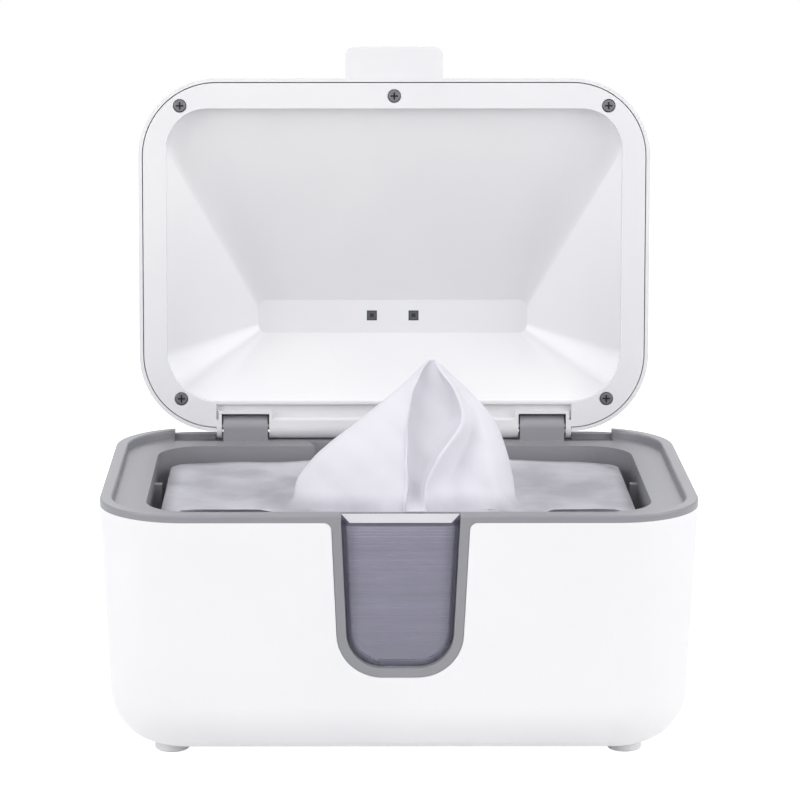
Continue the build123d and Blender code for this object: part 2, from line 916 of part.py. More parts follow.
with BuildPart() as power_button:
    cap_end = wall_rear_at(button_height) + button_proud - board_rear_y
    flange_end = cap_end - button_proud - housing_wall - 2 * seat_gap
    stem_start = switch_body + switch_nub + button_travel + fit_gap
    extrude(
        discs(board_rear.offset(stem_start), button_stem_radius, [(-button_x, button_height)]),
        amount=flange_end - stem_start,
    )
    extrude(
        discs(board_rear.offset(flange_end), button_radius + button_flange, [(-button_x, button_height)]),
        amount=-button_flange_thickness,
    )
    extrude(
        discs(board_rear.offset(flange_end), button_radius, [(-button_x, button_height)]),
        amount=cap_end - flange_end,
    )
    fillet(power_button.faces().sort_by(Axis.Y)[-1].edges(), soft_fillet / 2)
save(power_button, "power_button")

with BuildPart() as heater_leads:
    lead_height = film_bottom - lead_radius - thread_fit
    lead_rear = board_rear_y + plug_height / 2
    lead_top = inlet_height - plug_height / 2
    for side in (-1, 1):
        lead_x = plug_x + side * plug_width / 4
        with BuildLine() as lead_route:
            FilletPolyline(
                (lead_x, film_rear + film_tail_length / 2, lead_height),
                (lead_x, lead_rear, lead_height),
                (lead_x, lead_rear, lead_top),
                radius=plug_height,
            )
        with BuildSketch(Plane(origin=lead_route.line @ 0, z_dir=lead_route.line % 0)):
            Circle(lead_radius)
        sweep(path=lead_route.line)
save(heater_leads, "heater_leads")


# ---- Lid -------------------------------------------------------------------------------------
def lid_form(inset):
    """The lid's closed form from the liner's face up to its crown, drawn in by inset."""
    with BuildPart() as form:
        extrude(lid_outline(0, inset), amount=lid_height - inset, taper=lid_taper)
        fillet(form.faces().sort_by(Axis.Y)[-1].edges(), lid_top_radius - inset)
    return form.part


lid_outer_form = lid_form(0)
lid_inner_form = lid_form(lid_wall)
liner_screw_places = [
    (-corner_screw_x, rear_screw_y),
    (corner_screw_x, rear_screw_y),
    (-corner_screw_x, front_screw_y),
    (corner_screw_x, front_screw_y),
    (0, middle_screw_y),
]

with BuildPart() as lid_posts:
    extrude(discs(lid_plane(liner_flange), boss_radius, liner_screw_places), amount=lid_height)
    add(lid_outer_form, mode=Mode.INTERSECT)
    liner_room = liner_wall + seat_gap
    extrude(recess_outline(0, liner_room), amount=recess_lip, mode=Mode.SUBTRACT)
    loft(
        [recess_outline(recess_lip, liner_room), deep_outline(led_board_depth + seat_gap, liner_room)],
        mode=Mode.SUBTRACT,
    )

with BuildPart() as lid_outer_shell:
    add(lid_outer_form)
    add(lid_inner_form, mode=Mode.SUBTRACT)
    add(lid_posts.part)
    extrude(
        discs(lid_plane(liner_flange), screw_radius + thread_fit, liner_screw_places),
        amount=screw_length,
        mode=Mode.SUBTRACT,
    )
    # The tab that a finger lifts
    with BuildSketch(lid_plane(tab_set_back)) as tab:
        with Locations((0, lid_front + (tab_reach - lid_wall) / 2)):
            Rectangle(tab_width, tab_reach + lid_wall)
        fillet(tab.vertices().group_by(Axis.Y)[-1], tab_corner_radius)
    extrude(amount=tab_thickness)
    # Room for the hinge, which the liner carries
    extrude(
        block(
            lid_plane(-soft_fillet),
            2 * (cheek_outer + fit_gap),
            notch_reach + barrel_radius + 2 * hinge_border,
            (0, (notch_reach - barrel_radius) / 2),
        ),
        amount=soft_fillet + notch_depth + hinge_border + fit_gap,
        mode=Mode.SUBTRACT,
    )
save(lid_outer_shell, "lid_outer_shell")

flange_inset = lid_wall + fit_gap + liner_flange * tan(radians(lid_taper))
led_places = [(-led_spacing / 2, led_y), (led_spacing / 2, led_y)]
led_screw_places = [(-led_screw_spacing / 2, led_y), (led_screw_spacing / 2, led_y)]
barrel_plane = Plane(origin=hinge_plane.origin, x_dir=hinge_plane.z_dir, z_dir=(1, 0, 0))

with BuildPart() as lid_liner:
    extrude(lid_outline(0, flange_inset), amount=liner_flange)
    extrude(recess_outline(0, liner_wall), amount=recess_lip)
    loft([recess_outline(recess_lip, liner_wall), deep_outline(led_board_depth, liner_wall)])
    # The bar across the rear, from cheek to cheek, that carries the hinge barrel
    extrude(
        block(
            lid_plane(0),
            2 * cheek_outer,
            notch_reach + hinge_border,
            (0, (notch_reach + hinge_border) / 2),
        ),
        amount=notch_depth + hinge_border,
    )
    # The mouth of the recess and its long facets
    extrude(recess_outline(0, 0), amount=recess_lip, mode=Mode.SUBTRACT)
    loft([recess_outline(recess_lip, 0), deep_outline(recess_depth, 0)], mode=Mode.SUBTRACT)
    # The set-back strip between the recess's rear lip and the barrel
    extrude(
        block(
            lid_plane(0),
            2 * cheek_outer,
            groove_width,
            (0, recess_rear - groove_lip - groove_width / 2),
        ),
        amount=groove_depth,
        mode=Mode.SUBTRACT,
    )
    with BuildSketch(barrel_plane):
        Circle(barrel_radius)
    extrude(amount=cheek_outer, both=True)
    # The notches for the knuckles, each in a raised border
    for side in (-1, 1):
        extrude(
            block(
                lid_plane(0),
                notch_outer - notch_inner + 2 * hinge_border,
                notch_reach + hinge_border,
                (side * knuckle_middle, (notch_reach + hinge_border) / 2),
            ),
            amount=notch_depth,
        )
    for side in (-1, 1):
        extrude(
            block(
                lid_plane(-soft_fillet),
                notch_outer - notch_inner,
                notch_reach + 2 * barrel_radius,
                (side * knuckle_middle, notch_reach / 2 - barrel_radius),
            ),
            amount=soft_fillet + notch_depth,
            mode=Mode.SUBTRACT,
        )
    # Holes for the screws, the lamps and the pins
    extrude(
        discs(lid_plane(0), screw_radius + head_gap, liner_screw_places),
        amount=liner_flange,
        mode=Mode.SUBTRACT,
    )
    extrude(
        discs(lid_plane(0), screw_head_radius + head_gap, liner_screw_places),
        amount=screw_sink + screw_head_height,
        mode=Mode.SUBTRACT,
    )
    with BuildSketch(lid_plane(recess_depth)):
        with Locations(*led_places):
            Rectangle(led_opening, led_opening)
    extrude(amount=liner_wall, mode=Mode.SUBTRACT)
    extrude(
        discs(lid_plane(led_board_depth), small_screw_radius + thread_fit, led_screw_places),
        amount=-led_screw_bite,
        mode=Mode.SUBTRACT,
    )
    for side in (-1, 1):
        with BuildSketch(barrel_plane.offset(side * (notch_inner - pin_embed))):
            Circle(pin_radius + pin_fit)
        extrude(amount=side * (cheek_outer - notch_inner + pin_embed), mode=Mode.SUBTRACT)
save(lid_liner, "lid_liner")

with BuildPart() as hinge_pins:
    for side in (-1, 1):
        with BuildSketch(barrel_plane.offset(side * (notch_inner - pin_embed))):
            Circle(pin_radius)
        extrude(amount=side * (cheek_outer - notch_inner + pin_embed))
save(hinge_pins, "hinge_pins")

with BuildPart() as liner_screws:
    add(
        screw(
            lid_plane(screw_sink),
            liner_screw_places,
            screw_head_radius,
            screw_head_height,
            screw_radius,
            screw_length,
        )
    )
save(liner_screws, "liner_screws")

with BuildPart() as uv_led_board:
    extrude(
        block(lid_plane(led_board_depth), led_board_length, led_board_width, (0, led_y)),
        amount=board_thickness,
    )
    extrude(
        discs(lid_plane(led_board_depth), small_screw_radius + head_gap, led_screw_places),
        amount=board_thickness,
        mode=Mode.SUBTRACT,
    )
save(uv_led_board, "uv_led_board")

with BuildPart() as uv_leds:
    with BuildSketch(lid_plane(led_board_depth - led_height)):
        with Locations(*led_places):
            Rectangle(led_size, led_size)
    extrude(amount=led_height)
    with BuildSketch(lid_plane(led_board_depth - led_height)):
        with Locations(*led_places):
            Rectangle(led_lens, led_lens)
    extrude(amount=led_height / 3, mode=Mode.SUBTRACT)
save(uv_leds, "uv_leds")

with BuildPart() as led_board_screws:
    board_back = lid_plane(led_board_depth + board_thickness + small_screw_head_height)
    add(
        screw(
            Plane(origin=board_back.origin, x_dir=(1, 0, 0), z_dir=-board_back.z_dir),
            led_screw_places,
            small_screw_head,
            small_screw_head_height,
            small_screw_radius,
            board_thickness + led_screw_bite,
        )
    )
save(led_board_screws, "led_board_screws")


# ---- Wipes -----------------------------------------------------------------------------------
with BuildPart() as wipe_stack:
    extrude(
        rounded(
            Plane.XY.offset(well_floor_height),
            stack_width,
            stack_rear - stack_front,
            stack_radius,
            (0, (stack_rear + stack_front) / 2),
        ),
        amount=stack_top - well_floor_height,
    )
    fillet(wipe_stack.faces().sort_by(Axis.Z)[-1].edges(), stack_edge_radius)
save(wipe_stack, "wipe_stack")

# The wipe that stands up from the stack: two broad facets, a deep fold between them, and a back
wipe_foot = ((-43, -30), (2, -41), (6, -26), (12, -40), (47, -28), (31, 1), (-14, 4))
wipe_middle = ((-22, -24), (4, -29), (9, -16), (24, -28), (41, -20), (26, -6), (0, -6))
wipe_tip = ((11, -13.5), (12, -15), (13.5, -13.8), (15, -15), (16, -13), (15, -11.5), (12, -11.5))
with BuildPart() as pulled_wipe:
    for height, outline in (
        (seat_gap, wipe_foot),
        (wipe_peak_height * wipe_middle_share, wipe_middle),
        (wipe_peak_height, wipe_tip),
    ):
        with BuildSketch(Plane.XY.offset(stack_top + height)):
            with BuildLine():
                Polyline(*outline, close=True)
            make_face()
    loft(ruled=True)
save(pulled_wipe, "pulled_wipe")
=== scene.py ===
"""A baby wipe warmer with its lid open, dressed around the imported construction. Metres, +Z up, front to -Y."""
import math
import random

import bmesh
import bpy
from mathutils import Matrix, Vector


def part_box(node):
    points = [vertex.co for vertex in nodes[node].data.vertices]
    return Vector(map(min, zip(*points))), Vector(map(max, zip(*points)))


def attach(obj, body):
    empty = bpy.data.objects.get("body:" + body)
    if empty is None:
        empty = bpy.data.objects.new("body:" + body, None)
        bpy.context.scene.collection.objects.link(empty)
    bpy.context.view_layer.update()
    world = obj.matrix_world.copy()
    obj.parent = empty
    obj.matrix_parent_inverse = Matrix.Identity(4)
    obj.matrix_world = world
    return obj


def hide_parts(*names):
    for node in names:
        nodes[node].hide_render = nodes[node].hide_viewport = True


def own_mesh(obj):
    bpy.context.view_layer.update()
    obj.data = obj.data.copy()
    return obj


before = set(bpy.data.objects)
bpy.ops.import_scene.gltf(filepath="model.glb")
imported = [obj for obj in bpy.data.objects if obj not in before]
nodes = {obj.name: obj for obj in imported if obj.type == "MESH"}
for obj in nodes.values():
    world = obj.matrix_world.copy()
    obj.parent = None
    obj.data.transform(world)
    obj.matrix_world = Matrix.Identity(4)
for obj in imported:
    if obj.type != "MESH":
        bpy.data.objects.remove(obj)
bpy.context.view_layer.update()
MM = 0.001
bpy.ops.object.select_all(action="DESELECT")


# ---- Camera ----------------------------------------------------------------------------------
# A long lens a little above the rim, looking slightly down at the front of the warmer. The
# picture's middle lies to the right of the lens's axis, so the view is shifted. Its place and
# lens are solved from the outlines of the warmer's own rim, lid, hinge and feet.
camera_data = bpy.data.cameras.new("camera")
camera_data.sensor_width = 36  # millimetres, as the lens
camera_data.lens = 141.98
camera_data.shift_x = 0.0655
camera = bpy.data.objects.new("camera", camera_data)
camera.location = (-0.02446, -1.2813, 0.3958)
camera.rotation_euler = (math.pi / 2 - 0.2014, 0, -0.0031)
bpy.context.scene.collection.objects.link(camera)
bpy.context.scene.camera = camera
bpy.context.scene.view_settings.view_transform = "Standard"


# ---- Studio ----------------------------------------------------------------------------------
# A white sweep of paper with five large soft lamps, low enough that the white plastic keeps its
# shading. The sweep looks pure white to the eye, in gloss and through the window, and still takes
# the warmer's soft shadow.
def colour(code):
    """A hex sRGB colour as linear red, green, blue and alpha."""
    parts = [int(code[i : i + 2], 16) / 255 for i in (0, 2, 4)]
    return [c / 12.92 if c <= 0.04045 else ((c + 0.055) / 1.055) ** 2.4 for c in parts] + [1.0]


def node(tree, kind, inputs=None, links=None, **settings):
    """Adds a shader node with its settings, its values and what feeds it."""
    made = tree.nodes.new(kind)
    for name, value in settings.items():
        setattr(made, name, value)
    for name, value in (inputs or {}).items():
        made.inputs[name].default_value = value
    for name, source in (links or {}).items():
        tree.links.new(source, made.inputs[name])
    return made


def new_material(name):
    """An empty material and its node tree."""
    made = bpy.data.materials.new(name)
    made.use_nodes = True
    made.node_tree.nodes.clear()
    return made, made.node_tree


world = bpy.data.worlds.new("studio")
bpy.context.scene.world = world
world.use_nodes = True
sky = world.node_tree
sky.nodes.clear()


def plainly_seen(tree):
    """1 for what the eye sees directly, in gloss or through the window, and 0 for light."""
    path = node(tree, "ShaderNodeLightPath")
    either = node(
        tree,
        "ShaderNodeMath",
        operation="MAXIMUM",
        links={0: path.outputs["Is Camera Ray"], 1: path.outputs["Is Transmission Ray"]},
    )
    any_of_three = node(
        tree,
        "ShaderNodeMath",
        operation="MAXIMUM",
        links={0: either.outputs[0], 1: path.outputs["Is Glossy Ray"]},
    )
    return any_of_three.outputs[0]


FILL_LIGHT = 0.16  # what the white room sends back into the shadows
fill = node(sky, "ShaderNodeBackground", inputs={"Color": colour("FFFFFF"), "Strength": FILL_LIGHT})
white = node(sky, "ShaderNodeBackground", inputs={"Color": colour("FFFFFF"), "Strength": 1.0})
backdrop = node(
    sky,
    "ShaderNodeMixShader",
    links={0: plainly_seen(sky), 1: fill.outputs[0], 2: white.outputs[0]},
)
node(sky, "ShaderNodeOutputWorld", links={"Surface": backdrop.outputs[0]})

SWEEP_SIZE = 6.0
SWEEP_GLOW = 0.97  # just short of white, so that the lamps and the shadow still show on it
bpy.ops.mesh.primitive_plane_add(size=SWEEP_SIZE)
sweep = bpy.context.object
sweep.name = "sweep"
sweep_paper, paper = new_material("white sweep paper")
dull = node(paper, "ShaderNodeBsdfDiffuse", inputs={"Color": colour("EDEDED")})
shadow = node(paper, "ShaderNodeBsdfDiffuse", inputs={"Color": colour("959595")})
glow = node(paper, "ShaderNodeEmission", inputs={"Color": colour("FFFFFF"), "Strength": SWEEP_GLOW})
lit = node(paper, "ShaderNodeAddShader", links={0: shadow.outputs[0], 1: glow.outputs[0]})
shown = node(
    paper,
    "ShaderNodeMixShader",
    links={0: plainly_seen(paper), 1: dull.outputs[0], 2: lit.outputs[0]},
)
node(paper, "ShaderNodeOutputMaterial", links={"Surface": shown.outputs[0]})
sweep.data.materials.append(sweep_paper)


def softbox(name, place, target, size, power):
    """A rectangular soft lamp at a place, turned towards a target."""
    data = bpy.data.lights.new(name, "AREA")
    data.shape = "RECTANGLE"
    data.size, data.size_y = size
    data.energy = power
    lamp = bpy.data.objects.new(name, data)
    lamp.location = place
    lamp.rotation_euler = (Vector(target) - Vector(place)).to_track_quat("-Z", "Y").to_euler()
    bpy.context.scene.collection.objects.link(lamp)


BODY_MIDDLE = (0, 0, 0.12)
LID_FOOT = (0, 0, 0.14)
softbox("lamp_top", (0.0, -0.3, 1.15), BODY_MIDDLE, (1.2, 0.9), 4.8)
softbox("lamp_front", (0.0, -1.75, 0.9), BODY_MIDDLE, (1.5, 1.0), 5.4)
softbox("lamp_left", (-1.1, -0.6, 0.6), LID_FOOT, (0.7, 0.9), 8.2)
softbox("lamp_right", (1.1, -0.6, 0.6), LID_FOOT, (0.7, 0.9), 8.2)
softbox("lamp_rear", (0.0, 1.2, 1.05), BODY_MIDDLE, (1.3, 0.8), 8.0)


# ---- Housing, bottom hatch and feet ----------------------------------------------------------
# The bucket-shaped shell is injection-moulded ABS with a fine satin skin, as is the hatch in its
# bottom. Both are as drawn. The feet are pale rubber buttons, stuck over the tub's screws.
def two_tones(tree, source, dark, light, start, end):
    """The colours between a dark and a light one, as a pattern goes from start to end."""
    ramp = node(tree, "ShaderNodeValToRGB", links={"Fac": source})
    for element, position, code in zip(ramp.color_ramp.elements, (start, end), (dark, light)):
        element.position = position
        element.color = colour(code)
    return ramp.outputs["Color"]


def moulded(name, light, dark, roughness, ior=1.53, cloud_mm=70.0, grain_mm=1.1, grain_depth=0.02):
    """Moulded plastic: two close colours in a wide faint cloud, and a fine skin in the bump."""
    # The skin of a real mould is about a tenth of this grain, too fine to show in the picture
    made, tree = new_material(name)
    place = node(tree, "ShaderNodeTexCoord").outputs["Object"]
    cloud = node(
        tree,
        "ShaderNodeTexNoise",
        inputs={"Scale": 1 / (cloud_mm * MM), "Detail": 2.0, "Roughness": 0.4},
        links={"Vector": place},
    )
    grain = node(
        tree,
        "ShaderNodeTexNoise",
        inputs={"Scale": 1 / (grain_mm * MM), "Detail": 3.0, "Roughness": 0.55},
        links={"Vector": place},
    )
    rough = node(
        tree,
        "ShaderNodeMapRange",
        inputs={"To Min": roughness * 0.88, "To Max": roughness * 1.12},
        links={"Value": cloud.outputs["Fac"]},
    )
    skin = node(
        tree,
        "ShaderNodeBump",
        inputs={"Strength": 0.35, "Distance": grain_depth * MM},
        links={"Height": grain.outputs["Fac"]},
    )
    shader = node(
        tree,
        "ShaderNodeBsdfPrincipled",
        inputs={"IOR": ior},
        links={
            "Base Color": two_tones(tree, cloud.outputs["Fac"], dark, light, 0.35, 0.65),
            "Roughness": rough.outputs["Result"],
            "Normal": skin.outputs["Normal"],
        },
    )
    node(tree, "ShaderNodeOutputMaterial", links={"Surface": shader.outputs["BSDF"]})
    return made


def dress(finish, *names):
    """Gives drawn pieces one finish all over; their shape stays as drawn."""
    for name in names:
        piece = nodes[name]
        piece.data.materials.clear()
        piece.data.materials.append(finish)


# Satin ABS gives the housing broad, soft highlights; the rubber stays matt beside it
white_abs = moulded("satin white ABS, moulded", "F4F4F6", "F1F1F4", 0.34)
pale_rubber = moulded("pale rubber, moulded", "F6F6F7", "F0F0F2", 0.7, ior=1.5, grain_mm=0.8, grain_depth=0.05)
dress(white_abs, "housing_shell", "base_plate")
dress(pale_rubber, "feet")


# ---- Tub -------------------------------------------------------------------------------------
# Rim, ledge, well, window frame and hinge knuckles are one grey polypropylene moulding with a
# fine spark-eroded skin, dropped into the housing and screwed up from below.
# The skin softens the shine on the rim and leaves the ledge and well an even middle grey
grey_polypropylene = moulded(
    "grey polypropylene, fine-textured", "939398", "8E8E94", 0.36, ior=1.49, grain_mm=0.7, grain_depth=0.04
)
dress(grey_polypropylene, "inner_tub")


# ---- Window ----------------------------------------------------------------------------------
# A plate of smoke-tinted polycarbonate with a broad polished bevel, let into the tub's frame on a
# soft grey seal. Its top bevel takes a whiter, less clear copy of the plastic, a painted highlight of
# the lamp above it; the rest is slightly hazy.
def edit(piece, kind):
    """Starts editing a piece with nothing on it selected."""
    bpy.ops.object.select_all(action="DESELECT")
    piece.select_set(True)
    bpy.context.view_layer.objects.active = piece
    bpy.ops.object.mode_set(mode="EDIT")
    bpy.ops.mesh.select_mode(type=kind)
    bpy.ops.mesh.select_all(action="DESELECT")
    return bmesh.from_edit_mesh(piece.data)


def clear_plastic(name, tint, clearness, roughness):
    """Clear plastic with a little haze, of one tint all over."""
    made, tree = new_material(name)
    shader = node(
        tree,
        "ShaderNodeBsdfPrincipled",
        inputs={
            "Base Color": colour(tint),
            "Roughness": roughness,
            "IOR": 1.58,
            "Transmission Weight": clearness,
        },
    )
    node(tree, "ShaderNodeOutputMaterial", links={"Surface": shader.outputs["BSDF"]})
    return made


def shade(tree, source, start, end, strength=1.0):
    """A smooth step from 0 to a strength, as a length goes from start to end in millimetres."""
    return node(
        tree,
        "ShaderNodeMapRange",
        inputs={"From Min": start * MM, "From Max": end * MM, "To Max": strength},
        links={"Value": source},
        interpolation_type="SMOOTHSTEP",
    ).outputs["Result"]


def paint_shade_into_tint(plastic, tint, shaded_tint):
    """Paints shade into the tint: darker towards the pane's sides, where the walls behind it shade the pile, and
    in a dark line right under its top bevel.
    """
    tree = plastic.node_tree
    place = node(tree, "ShaderNodeTexCoord").outputs["Object"]
    split = node(tree, "ShaderNodeSeparateXYZ", links={"Vector": place})
    aside = node(tree, "ShaderNodeMath", operation="ABSOLUTE", links={0: split.outputs["X"]})
    # painted shade: rises towards the sides and right under the top bevel
    deep = node(
        tree,
        "ShaderNodeMath",
        operation="MAXIMUM",
        links={
            0: shade(tree, aside.outputs[0], 15.0, 22.0, strength=0.6),
            1: shade(tree, split.outputs["Z"], 99.9, 100.7),
        },
    )
    tone = node(
        tree,
        "ShaderNodeMix",
        data_type="RGBA",
        inputs={6: colour(tint), 7: colour(shaded_tint)},
        links={0: deep.outputs[0]},
    )
    tree.links.new(tone.outputs[2], tree.nodes["Principled BSDF"].inputs["Base Color"])


# The smoke tint turns the pile behind it violet grey, with painted shade; the hazy bevel is a painted highlight
# of the lamp above it
SMOKE = "CDCBDE"
SHADED_SMOKE = "8A889B"
smoked_polycarbonate = clear_plastic("smoked polycarbonate, polished", SMOKE, 0.8, 0.08)
# Painted shade in the pane: its tint darkens at the sides and under the top bevel
paint_shade_into_tint(smoked_polycarbonate, SMOKE, SHADED_SMOKE)
lit_bevel = clear_plastic("clear polycarbonate bevel, lit from above", "D9D9DE", 0.15, 0.12)

MERGE_DISTANCE = 0.002 * MM
BEVEL_FOOT = 101.5 * MM  # the top bevel lies above this height
BEVEL_SLOPE = 0.2  # and its face looks at least this much up and to the front


def two_finishes(drawn, name, body, finishes, second_faces):
    """Replaces a drawn piece by a merged copy, on which some faces take the second finish."""
    piece = nodes[drawn].copy()
    piece.data = nodes[drawn].data.copy()
    bpy.context.scene.collection.objects.link(piece)
    piece.name = name
    piece.data.materials.clear()
    for finish in finishes:
        piece.data.materials.append(finish)
    edit(piece, "VERT")
    bpy.ops.mesh.select_all(action="SELECT")
    bpy.ops.mesh.remove_doubles(threshold=MERGE_DISTANCE)
    bpy.ops.object.mode_set(mode="OBJECT")
    piece.data.polygons.foreach_set("material_index", [int(second) for second in second_faces(piece)])
    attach(piece, body)
    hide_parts(drawn)
    return piece


def on_top_bevel(piece):
    """True for each face of the pane's top bevel."""
    return [
        face.center.z > BEVEL_FOOT and face.normal.z > BEVEL_SLOPE and face.normal.y < -BEVEL_SLOPE
        for face in piece.data.polygons
    ]


# Painted highlight: the top bevel's faces take the whiter, less clear copy of the plastic
pane = two_finishes("window_pane", "bevelled_pane", "base", (smoked_polycarbonate, lit_bevel), on_top_bevel)

# Soft and dull, the seal draws a dark line round the pane
grey_silicone = moulded("grey silicone seal, moulded", "77777C", "6E6E74", 0.55, ior=1.41)
dress(grey_silicone, "window_gasket")


# ---- Lid -------------------------------------------------------------------------------------
# Two white ABS mouldings: the outer shell with its finger tab, and the deep liner screwed into it.
# Both are as drawn. The glossier skin lets the slopes of the recess mirror one another.
gloss_abs = moulded("gloss white ABS, moulded", "E5E5E7", "E1E1E4", 0.24, grain_depth=0.012)
dress(gloss_abs, "lid_outer_shell", "lid_liner")


# ---- Screws and pins -------------------------------------------------------------------------
# Cross-head screws of dark nickel-plated steel, turned and stamped, hold the liner in the lid and
# the hatch, tub, clamp and boards in the housing. The hinge pins are bright drawn rod.
def plain_metal(name, code, roughness, turning_mm=0.5):
    """Metal with faint marks of turning, drawing or rolling."""
    # Real marks are well under 0.1 mm wide; they are drawn as coarse as they need to show
    made, tree = new_material(name)
    place = node(tree, "ShaderNodeTexCoord").outputs["Object"]
    marks = node(
        tree,
        "ShaderNodeTexNoise",
        inputs={"Scale": 1 / (turning_mm * MM), "Detail": 2.0},
        links={"Vector": place},
    )
    rough = node(
        tree,
        "ShaderNodeMapRange",
        inputs={"To Min": roughness * 0.8, "To Max": roughness * 1.25},
        links={"Value": marks.outputs["Fac"]},
    )
    relief = node(
        tree,
        "ShaderNodeBump",
        inputs={"Strength": 0.3, "Distance": 0.02 * MM},
        links={"Height": marks.outputs["Fac"]},
    )
    shader = node(
        tree,
        "ShaderNodeBsdfPrincipled",
        inputs={"Base Color": colour(code), "Metallic": 1.0},
        links={"Roughness": rough.outputs["Result"], "Normal": relief.outputs["Normal"]},
    )
    node(tree, "ShaderNodeOutputMaterial", links={"Surface": shader.outputs["BSDF"]})
    return made


# Nickel gives the heads a dark shine; in the lid their cross is painted darker, as shade in its recess; the
# other metals are plain and bright
dark_nickel = plain_metal("dark nickel-plated steel", "6C6C70", 0.3)
painted_shade_nickel = plain_metal("dark nickel-plated steel, in the shade of the recess", "2E2E31", 0.5)
bright_steel = plain_metal("drawn steel rod", "A9A9AD", 0.28)
dress(dark_nickel, "base_screws", "tub_screws", "clamp_screws", "board_screws", "led_board_screws")
dress(bright_steel, "hinge_pins")

INTO_LID = Vector((0, 0.99558, -0.0939))  # square to the open lid's frame, away from the eye
FACE_SKIN = 0.12 * MM  # faces no further behind the foremost point belong to the front


def behind_front(piece):
    """True for each face of a piece in the lid that lies behind its front."""
    foremost = min(INTO_LID.dot(vertex.co) for vertex in piece.data.vertices)
    return [INTO_LID.dot(face.center) > foremost + FACE_SKIN for face in piece.data.polygons]


# Painted shade: the faces set back behind the front of the liner's screws take the darker copy
two_finishes("liner_screws", "lid_screws", "lid", (dark_nickel, painted_shade_nickel), behind_front)


# ---- Heater, board, socket and button --------------------------------------------------------
# Under the well lie an aluminium plate with a film heater, foam and a steel clamp; behind it, the
# control board with the power socket and the push button. All are as drawn. Only the button and
# the socket show, satin grey and black on the white back.
rolled_aluminium = plain_metal("rolled aluminium sheet", "C9CACD", 0.36, turning_mm=1.5)
zinc_steel = plain_metal("zinc-plated sheet steel", "A2A4A8", 0.38, turning_mm=2.0)
amber_film = moulded("amber polyimide film", "B06A22", "A5601C", 0.3, ior=1.7)
foam = moulded("closed-cell foam, sliced", "CFCFCA", "C2C2BC", 0.9, grain_mm=1.6, grain_depth=0.3)
green_board = moulded("green solder mask on fibreglass", "1F5A3A", "1B5034", 0.35)
black_epoxy = moulded("black moulded epoxy", "1E1E21", "19191C", 0.5)
black_nylon = moulded("black nylon, moulded", "2E2E31", "29292C", 0.42)
grey_abs = moulded("satin grey ABS, moulded", "A9A9AD", "A4A4A9", 0.4)
red_silicone = moulded("red silicone insulation", "A8352A", "9C3026", 0.5)
dress(rolled_aluminium, "heater_plate")
dress(amber_film, "heater_film")
dress(foam, "insulation_pad")
dress(zinc_steel, "heater_clamp", "thermostat", "thermal_fuse")
dress(green_board, "control_board")
dress(black_epoxy, "board_components")
dress(black_nylon, "dc_inlet")
dress(grey_abs, "power_button")
dress(red_silicone, "heater_leads")


# ---- Lamps in the lid ------------------------------------------------------------------------
# Two small ultraviolet lamps look out of the recess through square openings, on a narrow board
# behind it. Each is a dark grey moulded case whose faces set back behind its front are black, so it
# reads as a dot in a frame.
lamp_case = moulded("dark grey liquid-crystal polymer", "535358", "4D4D52", 0.45)
dress(green_board, "uv_led_board")
two_finishes("uv_leds", "lamps", "lid", (lamp_case, black_epoxy), behind_front)


# ---- Stack of wipes --------------------------------------------------------------------------
# A pile of moist non-woven wipes, each folded to the size of the well. Only the edges of the folds
# show, through the window and beside the top sheet, so one folded wipe is made and then copied.
ALONG_FOLDS = (0.04, 0.04, 1.0)  # stretches a pattern along the folds
LYING_HEIGHT = 96.4  # cloth lies flat on the pile below this height, in millimetres
RAISED_HEIGHT = 104.0  # and is wholly raised above this one


